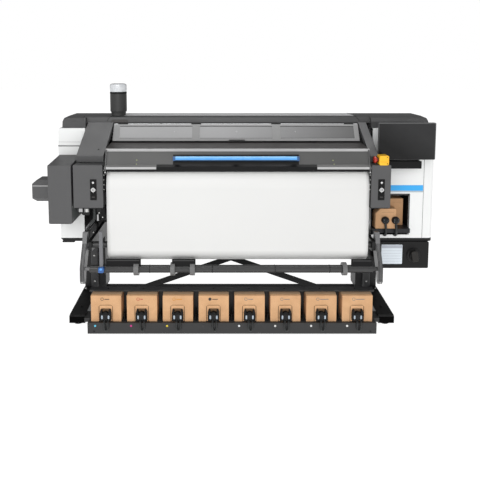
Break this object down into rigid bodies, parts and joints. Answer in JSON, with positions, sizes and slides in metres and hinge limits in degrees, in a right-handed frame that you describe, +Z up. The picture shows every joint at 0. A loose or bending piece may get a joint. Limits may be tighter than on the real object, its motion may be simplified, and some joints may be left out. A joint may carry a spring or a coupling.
{
  "type": "wide-format roll printer",
  "caption": "Wide-format roll-to-roll printer on a two-leg stand, with a sloping print window, a hanging web on a take-up roll and a low shelf of boxed ink.",
  "frame": {"origin": "on the floor, under the middle of the machine's bounding box", "axes": "+X towards the right of a person facing the front, -Y towards that person, +Z up"},
  "size_m": [2.59, 0.84, 1.539],
  "materials": {
    "frame_paint": "satin black powder coat",
    "grey_paint": "fine textured mid-grey paint",
    "grey_cover": "satin dark grey moulded plastic",
    "black_plastic": "matt black moulded plastic",
    "white_cover": "satin white moulded plastic",
    "window_frame": "light grey frame round smoked panes",
    "handle_blue": "satin blue plastic",
    "screen_glass": "dark glossy screen glass in a grey bezel",
    "key_white": "white key cap",
    "safety_yellow": "safety yellow plastic",
    "safety_red": "safety red plastic",
    "lens": "frosted clear beacon lens",
    "bare_metal": "brushed aluminium",
    "steel_bar": "dark satin steel tube",
    "pad_rubber": "black rubber",
    "carton": "plain kraft carton",
    "vinyl": "white vinyl media on a roll"
  },
  "bodies": {
    "machine": {"left_foot": "frame_paint", "right_foot": "frame_paint", "lower_cross_tube": "frame_paint", "rising_brace": "frame_paint", "falling_brace": "frame_paint", "chassis_beam": "frame_paint", "ink_shelf": "frame_paint", "engine_tray": "frame_paint", "electrical_box": "frame_paint", "left_leg": "grey_paint", "right_leg": "grey_paint", "front_ledge": "grey_paint", "left_front_levelling_foot": "pad_rubber", "left_rear_levelling_foot": "pad_rubber", "right_front_levelling_foot": "pad_rubber", "right_rear_levelling_foot": "pad_rubber", "top_cover": "grey_cover", "left_arm_cover": "grey_cover", "right_arm_cover": "grey_cover", "left_tower": "grey_cover", "right_tower": "grey_cover", "side_drive_box": "grey_cover", "left_lower_cover": "white_cover", "left_upper_cover": "white_cover", "right_cover": "white_cover", "beacon_body": "black_plastic", "estop_box": "safety_yellow", "beacon_lens": "lens", "platen": "bare_metal", "carriage_rail": "bare_metal", "rear_cartridge": "carton", "media_web": "vinyl"},
    "window": {"print_window": "window_frame"},
    "door": {"front_door": "grey_paint", "door_handle": "handle_blue"},
    "display": {"control_display": "screen_glass"},
    "tension_frame": {"tension_bar": "steel_bar"},
    "lever": {"lock_lever": "bare_metal"},
    "takeup": {"takeup_spindle": "bare_metal", "takeup_roll": "vinyl"},
    "supply": {"supply_roll": "vinyl"},
    "feed_roller": {"drive_roller": "pad_rubber"},
    "carriage": {"print_carriage": "black_plastic"},
    "estop": {"estop_button": "safety_red"},
    "isolator": {"power_switch": "black_plastic"},
    "bay_cartridge": {"front_cartridge": "carton"},
    "ink_1": {"ink_box_1": "carton"},
    "ink_2": {"ink_box_2": "carton"},
    "ink_3": {"ink_box_3": "carton"},
    "ink_4": {"ink_box_4": "carton"},
    "ink_5": {"ink_box_5": "carton"},
    "ink_6": {"ink_box_6": "carton"},
    "ink_7": {"ink_box_7": "carton"},
    "ink_8": {"ink_box_8": "carton"},
    "left_upper_key_body": {"left_upper_key": "black_plastic"},
    "left_jog_key_body": {"left_jog_key": "key_white"},
    "left_lower_key_body": {"left_lower_key": "black_plastic"},
    "right_upper_key_body": {"right_upper_key": "black_plastic"},
    "right_jog_key_body": {"right_jog_key": "key_white"},
    "right_lower_key_body": {"right_lower_key": "black_plastic"}
  },
  "joints": [
    {"name": "window_hinge", "type": "hinge", "parent": "machine", "child": "window", "pos_m": [-0.015, -0.06, 1.2715], "axis": [-1, 0, 0], "range_deg": [0, 75]},
    {"name": "door_hinge", "type": "hinge", "parent": "machine", "child": "door", "pos_m": [-0.0125, -0.302, 1.147], "axis": [-1, 0, 0], "range_deg": [0, 75]},
    {"name": "display_tilt", "type": "hinge", "parent": "machine", "child": "display", "pos_m": [1.0515, -0.215, 1.118], "axis": [-1, 0, 0], "range_deg": [0, 20]},
    {"name": "tension_swing", "type": "hinge", "parent": "machine", "child": "tension_frame", "pos_m": [-0.05, -0.24, 0.52], "axis": [-1, 0, 0], "range_deg": [0, 60]},
    {"name": "lever_pivot", "type": "hinge", "parent": "tension_frame", "child": "lever", "pos_m": [-0.852, -0.322, 0.394], "axis": [1, 0, 0], "range_deg": [0, 45]},
    {"name": "takeup_spin", "type": "hinge", "parent": "machine", "child": "takeup", "pos_m": [-0.045, -0.24, 0.52], "axis": [1, 0, 0], "continuous": true},
    {"name": "supply_spin", "type": "hinge", "parent": "machine", "child": "supply", "pos_m": [-0.038, 0.315, 0.67], "axis": [1, 0, 0], "continuous": true},
    {"name": "feed_spin", "type": "hinge", "parent": "machine", "child": "feed_roller", "pos_m": [-0.06, 0.112, 1.058], "axis": [1, 0, 0], "continuous": true},
    {"name": "carriage_slide", "type": "slide", "parent": "machine", "child": "carriage", "axis": [-1, 0, 0], "range_m": [0, 1.38]},
    {"name": "estop_press", "type": "slide", "parent": "machine", "child": "estop", "axis": [1, 0, 0], "range_m": [0, 0.004], "stiffness_N_per_m": 1500},
    {"name": "isolator_turn", "type": "hinge", "parent": "machine", "child": "isolator", "pos_m": [1.168, -0.12, 0.4], "axis": [0, 1, 0], "range_deg": [0, 90]},
    {"name": "bay_cartridge_slide", "type": "slide", "parent": "machine", "child": "bay_cartridge", "axis": [0, -1, 0], "range_m": [0, 0.12]},
    {"name": "ink_1_slide", "type": "slide", "parent": "machine", "child": "ink_1", "axis": [0, -1, 0], "range_m": [0, 0.08]},
    {"name": "ink_2_slide", "type": "slide", "parent": "machine", "child": "ink_2", "axis": [0, -1, 0], "range_m": [0, 0.08]},
    {"name": "ink_3_slide", "type": "slide", "parent": "machine", "child": "ink_3", "axis": [0, -1, 0], "range_m": [0, 0.08]},
    {"name": "ink_4_slide", "type": "slide", "parent": "machine", "child": "ink_4", "axis": [0, -1, 0], "range_m": [0, 0.08]},
    {"name": "ink_5_slide", "type": "slide", "parent": "machine", "child": "ink_5", "axis": [0, -1, 0], "range_m": [0, 0.08]},
    {"name": "ink_6_slide", "type": "slide", "parent": "machine", "child": "ink_6", "axis": [0, -1, 0], "range_m": [0, 0.08]},
    {"name": "ink_7_slide", "type": "slide", "parent": "machine", "child": "ink_7", "axis": [0, -1, 0], "range_m": [0, 0.08]},
    {"name": "ink_8_slide", "type": "slide", "parent": "machine", "child": "ink_8", "axis": [0, -1, 0], "range_m": [0, 0.08]},
    {"name": "left_upper_key_press", "type": "slide", "parent": "machine", "child": "left_upper_key_body", "axis": [0, 1, 0], "range_m": [0, 0.003], "stiffness_N_per_m": 250},
    {"name": "left_jog_key_press", "type": "slide", "parent": "machine", "child": "left_jog_key_body", "axis": [0, 1, 0], "range_m": [0, 0.003], "stiffness_N_per_m": 250},
    {"name": "left_lower_key_press", "type": "slide", "parent": "machine", "child": "left_lower_key_body", "axis": [0, 1, 0], "range_m": [0, 0.003], "stiffness_N_per_m": 250},
    {"name": "right_upper_key_press", "type": "slide", "parent": "machine", "child": "right_upper_key_body", "axis": [0, 1, 0], "range_m": [0, 0.003], "stiffness_N_per_m": 250},
    {"name": "right_jog_key_press", "type": "slide", "parent": "machine", "child": "right_jog_key_body", "axis": [0, 1, 0], "range_m": [0, 0.003], "stiffness_N_per_m": 250},
    {"name": "right_lower_key_press", "type": "slide", "parent": "machine", "child": "right_lower_key_body", "axis": [0, 1, 0], "range_m": [0, 0.003], "stiffness_N_per_m": 250}
  ]
}
